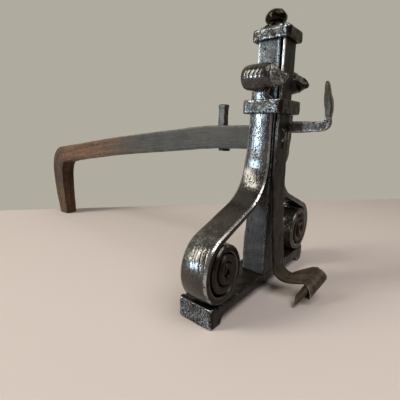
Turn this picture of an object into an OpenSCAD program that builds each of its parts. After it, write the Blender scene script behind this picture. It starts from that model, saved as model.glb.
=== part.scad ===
// Wrought iron andiron: an upright bound by a collar, two side straps that end in volutes,
// a front strap that ends in a rolled leaf foot, a spit hook and a billet bar with a rear leg.
// Millimetres. X runs along the base bar, -Y is the front, +Y the rear, Z = 0 is the hearth.
// The origin is on the hearth, midway between the rolled foot and the back of the rear leg.

/* [Base bar] */
// Length of the base bar
base_l = 252; // [242:1:260]
// Width of the base bar, front to back
base_w = 48; // [46:1:54]
// Height of the base bar
base_h = 23; // [20:0.5:26]
// Length of each end that stands on the hearth
pad_l = 17; // [13:0.5:20]
// Rise of the arch under the base bar
arch_h = 9; // [7:0.5:10]
// Height of the lip forged up at each end
lip_h = 2; // [1:0.5:2.5]
// Corner radius of the base bar's ends, seen from above
base_r = 4.5; // [3:0.5:7]

/* [Upright] */
// Side of the square post
post_w = 28; // [26:0.5:30]
// Height of the top of the post
post_top = 324; // [322:1:330]
// Swell of the post's back towards the base bar
post_swell = 4.8; // [2:0.2:6]
// Radius of the tenon at the foot of the post
post_tenon_r = 8; // [6:0.5:9]
// Radius of the tenon that carries the knob
knob_tenon_r = 6; // [4:0.5:7]
// Height of the knob
knob_h = 21; // [18:1:26]
// Largest radius of the knob
knob_r = 12.5; // [10:0.5:14]

/* [Front strap and leaf foot] */
// Thickness of the front strap
strap_t = 4.5; // [4:0.25:5]
// Swell of the front strap's near edge beside the punched mortise
strap_swell = 2.4; // [0:0.2:3]
// Groove between the front strap and the post
groove = 2.5; // [2:0.25:3]
// Height at which the front strap leaves the post
lean_top = 225; // [218:1:227]
// Radius of the bend at the foot, on the strap's middle
bend_r = 15.75; // [14:0.25:17]
// Height of the centre of that bend
bend_z = 40; // [39:0.5:42]
// Distance of the centre of that bend in front of the base bar
bend_out = 29; // [28:0.5:31]
// Thickness of the hammered leaf
leaf_t = 2.4; // [2:0.1:2.6]
// Radius of the leaf's roll at its big end
leaf_roll_r = 10.2; // [9.5:0.1:11]
// Growth of the leaf's roll for each turn
leaf_pitch = 2.9; // [2.8:0.1:3.2]
// Turn at which the rolled leaf ends, in degrees
leaf_end = 540; // [500:10:560]

/* [Side straps] */
// Thickness of the side straps on the post
side_t = 8; // [7:0.25:8.5]
// Thickness of the side straps in the volutes
volute_t = 9.6; // [9:0.1:10]
// Radius of the sweep from the post to the volute, on the strap's middle
sweep_r = 57.6; // [56:0.2:60]
// Angle of that sweep
sweep_turn = 70; // [68:1:72]
// Height at which the sweep starts
sweep_top = 173.5; // [172:0.5:175]
// Distance of the volute's centre from the middle of the base bar
volute_x = 102.7; // [101:0.1:104]
// Radius of the volute at its top
volute_r = 43.75; // [43:0.25:44.5]
// Growth of the volute for each turn
volute_pitch = 12.4; // [12:0.1:12.6]
// Turns of the volute
volute_turns = 2.6; // [2.4:0.05:2.65]
// Radius of the tight core in the volute's eye
volute_eye_r = 4.6; // [4:0.1:5]
// Flattening of the volute, width to height
volute_squash = 0.9; // [0.88:0.01:0.94]

/* [Rolled heads] */
// Depth by which a rolled head swells at the back
head_swell = 1.6; // [0:0.1:2.5]
// Distance of a rolled head's centre from the middle of the post
head_x = 31; // [30:0.5:32]
// Height of a rolled head's centre
head_z = 268; // [266:0.5:270]
// Outer radius of a rolled head
head_r = 14; // [13.5:0.25:14.5]
// Thickness of the strap in the rolled head
head_t = 5; // [4.5:0.25:5.2]
// Growth of the rolled head for each turn
head_pitch = 6; // [5.8:0.1:6.4]
// Turns of the rolled head
head_turns = 1.4; // [1.2:0.05:1.45]
// Length by which the snails of the rolled heads are drawn out
snail_l = 20; // [16:1:24]

/* [Collars] */
// Height of the lower edge of the main collar
collar_z = 229; // [228:0.5:231]
// Height of the main collar
collar_h = 16; // [14:0.5:17]
// Wall of the main collar
collar_t = 6.5; // [5.5:0.25:7]
// Height of the lower edge of the top collar
top_collar_z = 309; // [306:1:310]
// Height of the top collar
top_collar_h = 12; // [10:1:13]

/* [Spit hook] */
// Width of the spit hook's bar
hook_w = 9.5; // [8:0.5:10]
// Height of the arm's lower side where it leaves the strap
hook_z = 208.2; // [207.2:0.5:209.2]
// Height of the hook's point
hook_tip_z = 266; // [262:1:270]
// Reach of the hook in front of the base bar's middle
hook_reach = 78; // [75:1:81]
// Length of the hook's scarf, welded down the side strap
hook_scarf = 62; // [50:1:66]

/* [Billet bar] */
// Height of the billet bar's upper side at the post
bar_z = 216; // [214:0.5:217]
// Depth of the billet bar at the post
bar_d = 29; // [28:0.5:30]
// Width of the billet bar where it meets the post
bar_w = 28; // [26:0.5:28]
// Distance of the rear leg's back from the base bar's middle
leg_back = 560; // [540:1:600]
// Width of the rear leg at its shoulder
leg_w_top = 32; // [30:0.5:34]
// Width of the rear leg at the hearth
leg_w_foot = 25; // [23:0.5:27]
// Width of the billet bar's tenon
bar_tenon_w = 12; // [10:0.5:14]
// Height of the billet bar's tenon
bar_tenon_h = 24; // [20:0.5:25]
// Distance of the log stop behind the base bar's middle
stop_y = 59.5; // [50:0.5:80]
// Height of the log stop above the billet bar
stop_h = 28; // [24:0.5:32]

/* [Hidden] */
$fn = 48;
iron = "#3a322b";
bright_iron = "#5a5650";
rusty_iron = "#5b4433";
clear = 0.1;        // side clearance of a tenon in its mortise
skin = 0.02;        // cutters run past a face by this much
post_x = post_w / 2;
front_y = -base_w / 2;
post_back = front_y + post_w;
strap_back = front_y - groove;
strap_mid = strap_back - strap_t / 2;
strap_front = strap_back - strap_t;
side_back = post_back + 1.8;
side_mid = post_x + side_t / 2;

// ---- curves -------------------------------------------------------------------------------
function dir(a) = [cos(a), sin(a)];
function ease(x) = let (c = min(max(x, 0), 1)) c * c * (3 - 2 * c);
function mix(a, b, t) = a * (1 - t) + b * t;
function unit(v) = v / norm(v);
// cubic from p to q that starts along m and ends along n
function cubic(p, m, q, n, s) = (2*s*s*s - 3*s*s + 1) * p + (s*s*s - 2*s*s + s) * m
    + (3*s*s - 2*s*s*s) * q + (s*s*s - s*s) * n;
function arc(c, r, from, to, steps) = [for (i = [0:steps]) c + r * dir(mix(from, to, i / steps))];
// outline of a strip with half thickness h[i] on each side of the line m
function strip(m, h) = let (
    last = len(m) - 1,
    n = [for (i = [0:last])
        let (d = unit(m[min(i + 1, last)] - m[max(i - 1, 0)])) [-d[1], d[0]]])
    concat([for (i = [0:last]) m[i] + h[i] * n[i]],
           [for (i = [last:-1:0]) m[i] - h[i] * n[i]]);
// open smooth line through a few points
function smooth(p, steps) = let (last = len(p) - 1) concat([for (i = [0:last - 1], k = [0:steps - 1])
    cubic(p[i], (p[i + 1] - p[max(i - 1, 0)]) / 2,
          p[i + 1], (p[min(i + 2, last)] - p[i]) / 2, k / steps)], [p[last]]);

// an outline in X and Z, extruded between two Y values; and one in Y and Z between two X values
module along_y(y0, y1) translate([0, y1, 0]) rotate([90, 0, 0]) linear_extrude(y1 - y0) children();
module along_x(x0, x1) translate([x0, 0, 0]) rotate([90, 0, 90]) linear_extrude(x1 - x0) children();
module block(lo, hi) translate(lo) cube(hi - lo);
module rod(r, z0, z1) translate([0, 0, z0]) cylinder(r = r, h = z1 - z0);

// ---- leaf foot ----------------------------------------------------------------------------
// The leaf is rolled round a line from the far, big end down to a drawn-out tip on the hearth.
roll_a = [21.5, front_y - 63.5, 34.6];
roll_b = [-25, front_y - 47, 3.9];
roll_l = norm(roll_b - roll_a);
roll_dir = unit(roll_b - roll_a);
roll_up = unit([0, 0, 1] - roll_dir * roll_dir[2]);
roll_rear = cross(roll_dir, roll_up);
roll_start = -35;                       // angle from the top at which the leaf meets the roll
roll_sag = 2.4;                         // sag of that line at its middle
mouth = 28.5;                           // where the first turn's near edge lies on that line
function roll_line(t) = roll_a + roll_dir * t
    - (roll_up + roll_rear) * 0.707 * roll_sag * 4 * t / roll_l * (1 - t / roll_l);
function near_edge(k) = mouth + 9.5 * ease(k / 0.42)
    + (roll_l - mouth - 9.5) * ease((k - 0.55) / 0.8);
function far_edge(k) = 5 * k;
function sheet_t(k) = leaf_t * (1 - 0.22 * k);
function roll_point(a, w, out) = let (
    k = (a - roll_start) / 360,
    t = mix(near_edge(k), far_edge(k), w),
    envelope = (leaf_roll_r - 0.025 * t - leaf_pitch * k) * (1 - 0.32 * ease((t - 36) / (roll_l - 36))),
    r = max(envelope - sheet_t(k) / 2, 2) + out * sheet_t(k) / 2)
    roll_line(t) + r * (roll_up * cos(a) - roll_rear * sin(a));
bend_c = [front_y - bend_out, bend_z];
leaf_start = bend_c - bend_r * [sin(2), cos(2)];
inset = 0.6;                            // the leaf starts this much inside the strap's end
// edge of the flat leaf, from the strap's bend (side -1 near, 1 far) to the roll
function leaf_edge(s, side, out) = let (
    half = mix(strap_t / 2 - inset, leaf_t / 2, ease(s * 1.6)),
    p = [side * (post_x - inset), leaf_start[0] + 1, leaf_start[1]],
    a = roll_start,
    w = (side + 1) / 2,
    q = roll_point(a, w, 0),
    l = norm(q - p),
    flare = side < 0 ? [-0.2, -1, 0.035] : [0.45, -1, 0.455],
    end = unit(roll_point(a + 1, w, 0) - q),
    up = unit(mix([0, 0, 1], roll_point(a, w, 1) - q, s)))
    cubic(p, unit(flare) * l, q, end * l, s) + up * half * out;
function leaf_point(s, w, out) = mix(leaf_edge(s, -1, out), leaf_edge(s, 1, out), w);
leaf_steps = 9;
leaf_cols = 5;
// one closed ring of points round the sheet for each station along it
leaf_rings = concat(
    [for (i = [0:leaf_steps - 1]) concat(
        [for (j = [0:leaf_cols]) leaf_point(i / leaf_steps, j / leaf_cols, -1)],
        [for (j = [leaf_cols:-1:0]) leaf_point(i / leaf_steps, j / leaf_cols, 1)])],
    [for (a = [roll_start:12:leaf_end]) concat(
        [for (j = [0:leaf_cols]) roll_point(a, j / leaf_cols, -1)],
        [for (j = [leaf_cols:-1:0]) roll_point(a, j / leaf_cols, 1)])]);
// a solid through closed rings of points; its ends are closed by strips of triangles
module rings(r) {
    n = len(r[0]);
    last = len(r) - 1;
    cap = [for (j = [0:n / 2 - 2]) each [[j, j + 1, n - 2 - j], [j, n - 2 - j, n - 1 - j]]];
    polyhedron([for (ring = r) each ring], concat(
        cap,
        [for (k = [0:last - 1], i = [0:n - 1]) let (j = (i + 1) % n)
            each [[k * n + i, (k + 1) * n + i, k * n + j], [k * n + j, (k + 1) * n + i, (k + 1) * n + j]]],
        [for (f = cap) [for (i = [2:-1:0]) last * n + f[i]]]));
}

// ---- billet bar ---------------------------------------------------------------------------
// Y and Z of points along the bar: how far out on it, and the drop of its upper and lower side
bar_points = [[0.143, 1.1, 4], [0.286, 9, 12.6], [0.536, 24, 27.8], [0.768, 41, 45.6]];
shoulder = 71;                          // length of the leg's shoulder, front to back
leg_d = 43;                             // depth of the rear leg
bar_top = smooth(concat([[post_back, bar_z]], [for (p = bar_points) [p[0] * leg_back, bar_z - p[1]]],
    [[leg_back - shoulder, bar_z - 48.8]]), 4);
bar_low = smooth(concat([[leg_back - shoulder + 9, bar_z - bar_d - 56.5]],
    [for (i = [3:-1:0]) [bar_points[i][0] * leg_back, bar_z - bar_d - bar_points[i][2]]],
    [[post_back, bar_z - bar_d]]), 4);
leg_outline = concat(
    smooth([[leg_back - 40, bar_z - 53.5], [leg_back - 24, bar_z - 58.2], [leg_back - 8.5, bar_z - 73],
            [leg_back - 1, bar_z - 92], [leg_back, 100], [leg_back - 3, 55], [leg_back - 12, 3]], 4),
    [[leg_back - 15, 0], [leg_back - leg_d, 0], [leg_back - leg_d - 3, 3]],
    smooth([[leg_back - leg_d, 40], [leg_back - leg_d + 1, 72], [leg_back - leg_d - 0.5, bar_z - 108],
            [leg_back - leg_d - 6, bar_z - 93]], 4));
bar_outline = concat(bar_top, leg_outline, bar_low);
tenon_lo = 189;
tenon_hi = tenon_lo + bar_tenon_h;

// midway between the rolled foot and the back of the leg
origin_y = (min([for (ring = leaf_rings, p = ring) p[1]]) + max([for (p = bar_outline) p[0]])) / 2;
module placed() translate([0, -origin_y, 0]) children();

// ---- side strap ---------------------------------------------------------------------------
// Middle line in X and Z: out of the rolled head, down the post, through the sweep, into the volute.
volute_low_turn = 177;                  // degrees past the top at which the volute rests on the base
volute_z = base_h - 0.3
    + (volute_r - volute_pitch * volute_low_turn / 360) * sin(volute_low_turn - 90);
head_line = [for (t = [head_turns * 360:-14:0])
    [head_x, head_z] + (head_r - head_t / 2 - head_pitch * t / 360) * dir(180 - t)];
sweep_line = arc([side_mid + sweep_r, sweep_top], sweep_r, 180, 180 + sweep_turn, 12);
volute_line = [for (t = [18:10:volute_turns * 360]) let (
    r = volute_r - volute_pitch * t / 360 - volute_t / 2)
    [volute_x + volute_squash * r * cos(90 - t), volute_z + r * sin(90 - t)]];
side_line = concat(head_line, [[side_mid + 1.1, head_z - 10], [side_mid, collar_z + collar_h]],
                   sweep_line, volute_line);
function side_half(i) = let (h = len(head_line), s = h + 2 + len(sweep_line), last = len(side_line) - 1)
    i < h ? head_t / 2 * mix(0.75, 1, ease(i / h * 3))
    : i == h ? (head_t + side_t) / 4
    : i < s ? side_t / 2
    : volute_t / 2 * mix(1, 0.7, ease((i - last + 18) / 18));
side_outline = strip(side_line, [for (i = [0:len(side_line) - 1]) side_half(i)]);
neck_front = front_y + 6;
side_profile = [[front_y, base_h], [front_y, collar_z + collar_h + 2], [neck_front, collar_z + collar_h + 5],
    [neck_front, head_z - 16], [front_y - 0.5, head_z - 9], [front_y - 0.5, head_z + 20],
    [side_back + head_swell, head_z + 20], [side_back + head_swell, head_z - 12],
    [side_back, head_z - 17], [side_back, collar_z], [side_back + 1.8, 186], [side_back + 4.2, 167],
    [side_back + 4.9, 120], [side_back + 4.9, base_h]];

// the roll drawn out in front like a snail's shell, as rings with a spiral ledge
module snail(r0, r1, length) {
    steps = 22;
    sides = 28;
    turns = 2.3;
    ledge = 0.13;
    ring_r = function (q, a) let (w = turns * q + a / 360)
        mix(r0, r1, pow(q, 1.25)) * (1 - ledge * (w - floor(w)));
    rings([for (k = [0:steps]) let (q = k / steps)
        [for (i = [0:sides - 1]) let (a = i * 360 / sides, r = ring_r(q, a))
            [head_x + r * cos(a), front_y + 1 - (length + 1) * q, head_z - 2 * q + r * sin(a)]]]);
}
module side_strap() {
    difference() {
        union() {
            intersection() {
                along_y(front_y - 1, side_back + 6) union() {
                    polygon(side_outline);
                    translate([volute_x - 0.5, volute_z]) circle(volute_eye_r);
                }
                along_x(0, 2 * volute_x) polygon(side_profile);
            }
            snail(head_r - 1, 3, snail_l + 1);
        }
        translate([rivet_x, rivet_y, 0]) rod(rivet_r, base_h - 1, rivet_top);
    }
}

// ---- pieces -------------------------------------------------------------------------------
arch_x = base_l / 2 - pad_l;
rivet_x = arch_x - arch_h + 2;
rivet_y = (front_y + side_back + 4.9) / 2;
rivet_r = 4;
rivet_top = base_h + volute_t - 2;
rivet_foot = arch_h - 0.4;
burr_t = 3;
knob_z = post_top;
mouth_h = 12;                           // depth of the knob's blind hole

module base_bar() color(iron) placed() difference() {
    intersection() {
        along_y(front_y, -front_y) polygon(concat(
            [[arch_x, 0], [base_l / 2 - 1, 0], [base_l / 2, 1], [base_l / 2, base_h + lip_h - 1],
             [base_l / 2 - 1, base_h + lip_h], [base_l / 2 - 7, base_h + lip_h], [base_l / 2 - 10, base_h]],
            [[10 - base_l / 2, base_h], [7 - base_l / 2, base_h + lip_h], [1 - base_l / 2, base_h + lip_h],
             [-base_l / 2, base_h + lip_h - 1], [-base_l / 2, 1], [1 - base_l / 2, 0], [-arch_x, 0]],
            arc([arch_h - arch_x, 0], arch_h, 180, 90, 8),
            arc([arch_x - arch_h, 0], arch_h, 90, 0, 8)));
        linear_extrude(2 * base_h) union() {
            square([base_l - 2 * base_r, base_w], center = true);
            square([base_l, base_w - 2 * base_r], center = true);
            for (x = [-1, 1], y = [-1, 1])
                translate([x * (base_l / 2 - base_r), y * (base_w / 2 - base_r)]) circle(base_r);
        }
    }
    translate([0, (front_y + post_back) / 2, 0]) rod(post_tenon_r + clear, 0, 2 * base_h);
    for (x = [-rivet_x, rivet_x]) translate([x, rivet_y, 0]) {
        rod(rivet_r, 0, 2 * base_h);
        translate([0, 0, rivet_foot]) cylinder(r1 = rivet_r + 3, r2 = rivet_r, h = 3);
        rod(rivet_r + 3, 0, rivet_foot);
    }
}
module post() color(iron) placed() difference() {
    union() {
        along_x(-post_x, post_x) polygon([[front_y, base_h], [front_y, post_top], [post_back, post_top],
            [post_back, 140], [post_back + 0.65 * post_swell, 90], [post_back + post_swell, 65],
            [post_back + post_swell, base_h]]);
        translate([0, (front_y + post_back) / 2, 0]) {
            rod(post_tenon_r, arch_h - burr_t - 1, base_h + skin);
            rod(knob_tenon_r, post_top - skin, post_top + mouth_h - 1);
            translate([0, 0, arch_h - burr_t - 2.5])
                cylinder(r1 = post_tenon_r - 1, r2 = post_tenon_r + 2, h = 2.5);
        }
    }
    block([-bar_tenon_w / 2 - clear, front_y - 1, tenon_lo - clear],
          [bar_tenon_w / 2 + clear, post_back + 1, tenon_hi + clear]);
}
lean_end = 8;                           // lean of the strap where its bend starts
bend_top = bend_c + bend_r * dir(lean_end);
lean_l = lean_top - bend_top[1];
strap_line = concat([[strap_mid, post_top]],
    [for (i = [0:16]) cubic([strap_mid, lean_top], [0, -lean_l],
        bend_top, lean_l * [-tan(lean_end), -1], i / 16)],
    arc(bend_c, bend_r, lean_end - 6, -92, 14));
module front_strap() color(iron) placed() difference() {
    union() {
        intersection() {
            along_x(-2 * post_x, post_x) polygon(strip(strap_line, [for (p = strap_line) strap_t / 2]));
            along_y(-2 * hook_reach, 0) polygon([[post_x, 0], [post_x, post_top + 1],
                [-post_x, post_top + 1], [-post_x, collar_z], [-post_x - strap_swell, tenon_hi],
                [-post_x - strap_swell, tenon_lo - 24], [-post_x - 0.6 * strap_swell, 120],
                [-post_x, 60], [-post_x, 0]]);
        }
        rings(leaf_rings);
    }
    block([-bar_tenon_w / 2 - clear, strap_front - 2, tenon_lo - clear],
          [bar_tenon_w / 2 + clear, front_y, tenon_hi + clear]);
}
module left_scroll() color(bright_iron) placed() mirror([1, 0, 0]) side_strap();
module right_scroll() color(bright_iron) placed() difference() {
    side_strap();
    block([hook_x - hook_w / 2 + 1.9, front_y - 1, hook_z + 2],
          [hook_x + hook_w / 2 - 1.9, front_y + 14, hook_z + 9.5]);
}
module frame_outline(x, y0, y1, t, r) difference() {
    union() {
        translate([-x - t + r, y0 - t]) square([2 * (x + t - r), y1 - y0 + 2 * t]);
        translate([-x - t, y0 - t + r]) square([2 * (x + t), y1 - y0 + 2 * (t - r)]);
        for (s = [-1, 1], y = [y0 - t + r, y1 + t - r]) translate([s * (x + t - r), y]) circle(r);
    }
    translate([-x, y0]) square([2 * x, y1 - y0]);
}
collar_x = post_x + side_t + clear;
module collar() color(bright_iron) placed() translate([0, 0, collar_z]) linear_extrude(collar_h)
    frame_outline(collar_x, strap_front - clear, side_back + clear, collar_t, 5);
module collar_packing() color(iron) placed() {
    z0 = collar_z + 1;
    z1 = collar_z + collar_h - 1;
    block([-post_x, strap_back, z0], [post_x, front_y, z1]);
    block([-post_x, post_back, z0], [post_x, side_back, z1]);
    for (s = [0, 1]) mirror([s, 0, 0])
        block([post_x + clear, strap_front, z0], [collar_x - clear, front_y - clear, z1]);
}
module top_collar() color(bright_iron) placed() translate([0, 0, top_collar_z])
    linear_extrude(top_collar_h)
    frame_outline(post_x + clear, strap_front - clear, post_back + clear, collar_t - 1, 4);
module top_packing() color(iron) placed()
    block([-post_x, strap_back, top_collar_z + 1], [post_x, front_y, top_collar_z + top_collar_h - 1]);
module finial_knob() color(bright_iron) placed() translate([0, (front_y + post_back) / 2, knob_z])
    difference() {
        rotate_extrude() polygon(concat([[0, 0], [post_x - 0.5, 0], [post_x - 0.5, 3], [knob_r - 3.5, 4.5]],
            [for (a = [-50:10:90]) [max(knob_r * cos(a), 0),
                4.5 + (knob_h - 4.5) * (sin(a) + sin(50)) / (1 + sin(50))]]));
        rod(knob_tenon_r + clear, -1, mouth_h);
    }
hook_x = post_x + 0.3 + hook_w / 2;
// Y and Z of the hook's inner and outer side, and of the scarf that laps the side strap's edge
hook_in = smooth([[front_y, hook_z + 13], [21 - hook_reach, hook_z + 13], [10 - hook_reach, hook_z + 13.3],
    [6.7 - hook_reach, hook_z + 15.5], [7.2 - hook_reach, hook_z + 26], [9.3 - hook_reach, hook_z + 37],
    [9.9 - hook_reach, hook_tip_z - 6], [9.5 - hook_reach, hook_tip_z]], 4);
hook_out = smooth([[8.2 - hook_reach, hook_tip_z], [4.8 - hook_reach, hook_tip_z - 10],
    [1.6 - hook_reach, hook_tip_z - 21], [0.1 - hook_reach, hook_tip_z - 32], [0.9 - hook_reach, hook_z + 11],
    [2.6 - hook_reach, hook_z + 5], [7 - hook_reach, hook_z + 2.4], [21 - hook_reach, hook_z + 1.3],
    [front_y, hook_z]], 4);
scarf_out = 7;
scarf = [[front_y, collar_z - clear], [front_y - scarf_out, collar_z - clear],
    [front_y - scarf_out, hook_z - 6], [front_y - 0.8 * scarf_out, collar_z - 0.8 * hook_scarf],
    [front_y - 0.6 * scarf_out, collar_z - 0.92 * hook_scarf], [front_y, collar_z - hook_scarf]];
module spit_hook() color(bright_iron) placed() {
    along_x(hook_x - hook_w / 2, hook_x + hook_w / 2) union() {
        polygon(concat(hook_in, hook_out));
        polygon(scarf);
    }
    block([hook_x - hook_w / 2 + 2, front_y - skin, hook_z + 2.1],
          [hook_x + hook_w / 2 - 2, front_y + 13.9, hook_z + 9.4]);
}
bar_width = [[leg_w_foot / 2, 0], [leg_w_top / 2, bar_z - 91], [leg_w_top / 2, bar_z - 51],
    [bar_w / 2, bar_z - 24], [bar_w / 2, bar_z + 1]];
module billet_bar() color(rusty_iron) placed() difference() {
    union() {
        intersection() {
            along_x(-leg_w_top, leg_w_top) polygon(bar_outline);
            along_y(post_back, leg_back + 1) polygon(concat(bar_width,
                [for (i = [len(bar_width) - 1:-1:0]) [-bar_width[i][0], bar_width[i][1]]]));
        }
        block([-bar_tenon_w / 2, strap_front - 0.6, tenon_lo], [bar_tenon_w / 2, post_back + skin, tenon_hi]);
        // the tenon's upper end is peened over the front strap
        translate([0, strap_front - 0.6, tenon_hi - 4.5]) rotate([90, 0, 0])
            cylinder(r1 = 6, r2 = 3.5, h = 1.8);
    }
    block([-1.5 - clear / 2, strap_front - 3, tenon_lo - 1], [1.5 + clear / 2, front_y + 12, tenon_lo + 7.5]);
    translate([0, stop_y, 0]) rotate([stop_tilt, 0, 0]) rod(stop_r + clear, bar_z - 2 * bar_d, bar_z + 1);
}
module billet_wedge() color(rusty_iron) placed()
    block([-1.5, strap_front - 1.2, tenon_lo], [1.5, front_y + 11, tenon_lo + 7.2]);
stop_tilt = 1.2;                        // the stop leans back a little
stop_r = 3.5;
stop_w = 10;
stop_d = 11;
stop_foot = bar_z - 0.1;
stop_under = bar_z - bar_d - 2.4;       // underside of the billet bar at the stop
module log_stop() color(rusty_iron) placed() translate([0, stop_y, 0]) rotate([stop_tilt, 0, 0]) {
    along_x(-stop_w / 2, stop_w / 2) polygon([[-stop_d / 2, stop_foot], [stop_d / 2, stop_foot],
        [stop_d / 2 - 0.6, stop_foot + stop_h - 6], [stop_d / 2, stop_foot + stop_h - 1.5],
        [stop_d / 2 - 1.5, stop_foot + stop_h], [1 - stop_d / 2, stop_foot + stop_h],
        [-stop_d / 2 - 0.3, stop_foot + stop_h - 1.5], [0.6 - stop_d / 2, stop_foot + stop_h - 6]]);
    rod(stop_r, stop_under - burr_t - 1.5, stop_foot + skin);
}
module stop_burr() color(rusty_iron) placed() translate([0, stop_y, 0]) rotate([stop_tilt, 0, 0])
    difference() {
        rod(2.3 * stop_r, stop_under - burr_t, stop_under - 0.6);
        rod(stop_r + clear, stop_under - 2 * burr_t, stop_under);
    }
module post_burr() color(iron) placed() translate([0, (front_y + post_back) / 2, 0]) difference() {
    rod(post_tenon_r + 5, arch_h - burr_t, arch_h);
    rod(post_tenon_r + 2 + clear, arch_h - 2 * burr_t, arch_h + 1);
}
module scroll_rivets() color(iron) placed() for (x = [-rivet_x, rivet_x]) translate([x, rivet_y, 0]) {
    rod(rivet_r - clear, rivet_foot, rivet_top - clear);
    translate([0, 0, rivet_foot]) cylinder(r1 = rivet_r + 3 - clear, r2 = rivet_r - clear, h = 3);
}

base_bar();
post();
front_strap();
left_scroll();
right_scroll();
collar();
collar_packing();
top_collar();
top_packing();
finial_knob();
spit_hook();
billet_bar();
billet_wedge();
log_stop();
stop_burr();
post_burr();
scroll_rivets();
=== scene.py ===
# %% [markdown]
# # A wrought iron andiron
# This lesson dresses a tall forged andiron. The solids come in as a fixed frame that gives every
# size and place. Each forging is then drawn out again as a finer mesh, because a smith's work
# shows in what a plain solid lacks: crowned faces, soft edges, hammer marks and pitting.
#
# All sizes below are millimetres from the middle of the base bar, with -Y to the front. The
# helper `at` turns them into metres in the shared frame.

# %% The frame
import math
import bpy
import bmesh
from mathutils import Matrix, Vector, noise


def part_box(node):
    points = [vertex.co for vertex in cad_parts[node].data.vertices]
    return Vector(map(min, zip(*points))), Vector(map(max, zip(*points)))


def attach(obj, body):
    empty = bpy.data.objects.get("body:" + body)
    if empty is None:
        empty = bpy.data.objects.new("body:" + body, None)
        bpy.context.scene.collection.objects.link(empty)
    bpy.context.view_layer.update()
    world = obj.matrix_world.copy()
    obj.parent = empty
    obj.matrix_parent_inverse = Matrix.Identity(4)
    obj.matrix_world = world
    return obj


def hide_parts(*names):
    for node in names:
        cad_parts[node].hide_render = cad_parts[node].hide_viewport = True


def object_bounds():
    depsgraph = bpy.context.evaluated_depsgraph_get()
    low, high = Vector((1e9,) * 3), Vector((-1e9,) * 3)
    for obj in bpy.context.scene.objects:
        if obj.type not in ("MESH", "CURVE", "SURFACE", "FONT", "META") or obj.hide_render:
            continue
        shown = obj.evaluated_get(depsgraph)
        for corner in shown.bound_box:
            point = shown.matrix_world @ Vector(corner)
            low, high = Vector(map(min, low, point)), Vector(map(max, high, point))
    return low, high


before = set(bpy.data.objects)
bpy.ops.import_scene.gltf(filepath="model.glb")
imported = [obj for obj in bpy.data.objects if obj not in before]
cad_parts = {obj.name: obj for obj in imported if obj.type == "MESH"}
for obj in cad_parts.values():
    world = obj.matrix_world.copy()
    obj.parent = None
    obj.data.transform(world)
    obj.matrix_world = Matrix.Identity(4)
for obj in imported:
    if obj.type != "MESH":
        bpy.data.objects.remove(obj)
cad_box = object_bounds()
MM = 0.001
base_low, base_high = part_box("base_bar")
middle_y = (base_low.y + base_high.y) / 2


def at(x, y, z):
    """A point given in millimetres from the base bar's middle, in the shared frame."""
    return Vector((x * MM, middle_y + y * MM, z * MM))


base_h = 23.0
base_w = (base_high.y - base_low.y) / MM
base_l = (base_high.x - base_low.x) / MM
front_y = -base_w / 2
post_w, post_top = 28.0, 324.0
post_x = post_w / 2
post_back = front_y + post_w
post_mid = (front_y + post_back) / 2
strap_t, strap_gap = 4.5, 2.5
strap_mid = front_y - strap_gap - strap_t / 2
side_back = post_back + 1.8
print("base bar", round(base_l), "x", round(base_w), "mm; its middle lies at y =", round(middle_y, 4))

# %% [markdown]
# ## Looking from where the photograph was taken
# The photograph was taken close by, a little above the collar's height, with the camera tipped
# down. The view is set first.

# %% Camera
camera_spot = (-343.75, -184.2, 209.46)
heading, tip_down, tilt = 39.41, 13.49, 1.11
camera_data = bpy.data.cameras.new("camera")
camera_data.lens = 26.38
camera_data.sensor_width = 36.0
camera = bpy.data.objects.new("camera", camera_data)
camera.matrix_world = (
    Matrix.Translation(at(*camera_spot))
    @ Matrix.Rotation(math.radians(heading - 90), 4, "Z")
    @ Matrix.Rotation(math.radians(90 - tip_down), 4, "X")
    @ Matrix.Rotation(math.radians(tilt), 4, "Z")
)
bpy.context.scene.collection.objects.link(camera)
bpy.context.scene.camera = camera
print("camera at", [round(v, 3) for v in camera.matrix_world.translation])

# %% [markdown]
# ## Drawing out a bar
# Nearly every piece of an andiron is a bar whose section changes slowly along a bent line: it is
# heated, drawn out, tapered and rolled. The mesh is made in the same way. A section is a closed
# ring of edges, and `extrude_edge_only` takes it from place to place along the line. A place is a
# matrix, so the section can turn, taper and shear on its way, which a bevelled curve can't.
#
# Three numbers are kept on every vertex: `wear`, which is 1 on the edges that hands and logs rub
# bright, `along`, the distance drawn out, and `across`, the distance from the middle of the width.
# The hammer marks and the finish both follow them.

# %% Sections
def section_layers(bm):
    """The three numbers kept on each vertex, made once for each mesh."""
    layers = bm.verts.layers.float
    return [layers.get(name) or layers.new(name) for name in ("wear", "along", "across")]


def ring_verts(ring):
    return list({v for e in ring for v in e.verts})


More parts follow.
